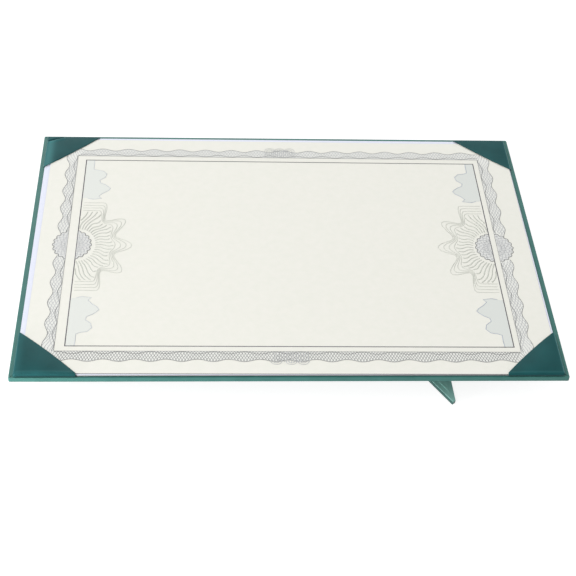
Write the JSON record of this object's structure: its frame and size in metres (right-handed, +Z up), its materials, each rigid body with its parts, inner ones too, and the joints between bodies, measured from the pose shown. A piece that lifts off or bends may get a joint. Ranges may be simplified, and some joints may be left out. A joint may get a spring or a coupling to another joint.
{
  "type": "certificate holder",
  "caption": "Stiff wrapped board that shows an A4 landscape certificate under four cloth corner pockets, with an easel strut hinged on its back.",
  "frame": {"origin": "on the table, under the middle of the holder's box as it rests on its far edge and on the strut's foot", "axes": "+X to the right along the near edge, +Y away from the reader, +Z up"},
  "size_m": [0.308, 0.2164, 0.0342],
  "materials": {
    "leatherette": "embossed matt leatherette paper, teal green",
    "greyboard": "raw grey board",
    "white_card": "smooth white card with a cool tint",
    "pocket_cloth": "fine woven cloth, dark teal, slight sheen",
    "cream_paper": "uncoated cream certificate paper",
    "grey_ink": "fine grey line printing",
    "dark_ink": "dark grey line printing",
    "pale_ink": "pale line printing"
  },
  "bodies": {
    "holder": {"cover_wrap": "leatherette", "cover_board": "greyboard", "inner_card": "white_card", "certificate": "cream_paper", "pocket_front_left": "pocket_cloth", "pocket_front_right": "pocket_cloth", "pocket_back_right": "pocket_cloth", "pocket_back_left": "pocket_cloth", "printed_border": "grey_ink", "printed_frame": "dark_ink", "printed_fan_left": "pale_ink", "printed_fan_right": "pale_ink", "strut_base_wrap": "leatherette", "strut_base_board": "greyboard"},
    "strut": {"strut_wrap": "leatherette", "strut_board": "greyboard", "strut_lining": "leatherette"}
  },
  "joints": [
    {"name": "strut_hinge", "type": "hinge", "parent": "holder", "child": "strut", "pos_m": [0.0138, 0.02839, 0.00716], "axis": [0.7837, 0.6157, -0.0823], "range_deg": [-9.2, 30.8]}
  ]
}
